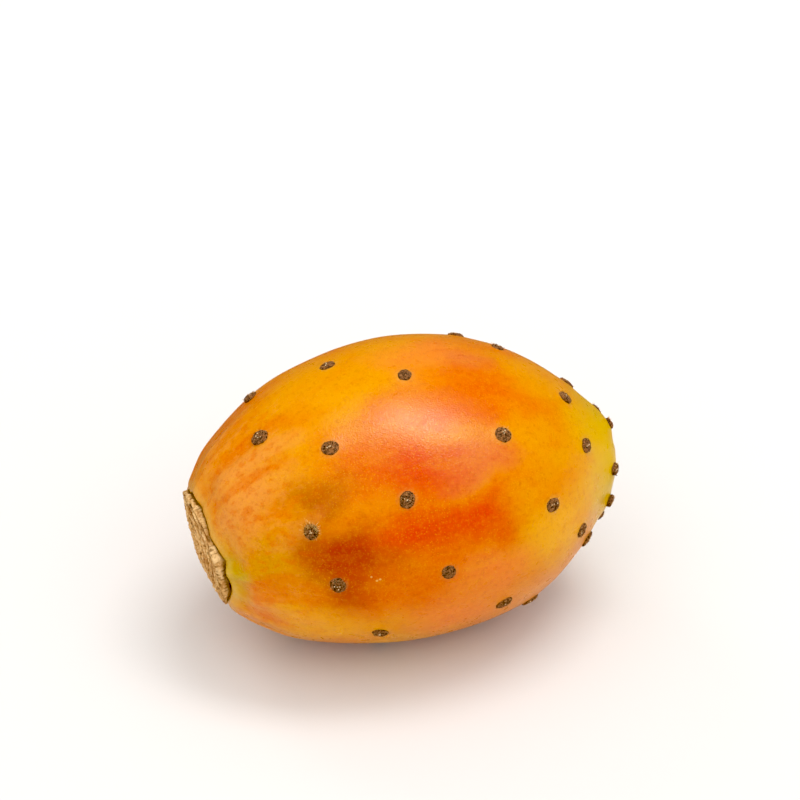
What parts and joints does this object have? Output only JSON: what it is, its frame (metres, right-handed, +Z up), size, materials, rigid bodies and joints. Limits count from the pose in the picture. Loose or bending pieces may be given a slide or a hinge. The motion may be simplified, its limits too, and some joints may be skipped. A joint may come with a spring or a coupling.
{
  "type": "prickly pear fruit",
  "caption": "Whole ripe prickly pear fruit lying on its side: plump barrel with small felted areoles, a corky stem scar at one end and a shallow dished flower end at the other.",
  "frame": {"origin": "on the surface that the fruit lies on, under the middle of its bounding box", "axes": "+X along the fruit from its stem scar to its flower end, +Z up; the side seen first faces -Y"},
  "size_m": [0.0854, 0.0594, 0.0587],
  "materials": {
    "skin": "satin",
    "areole_felt": "matte",
    "cork": "matte"
  },
  "bodies": {
    "root": {"prickly_pear_fruit": "skin"}
  },
  "joints": []
}
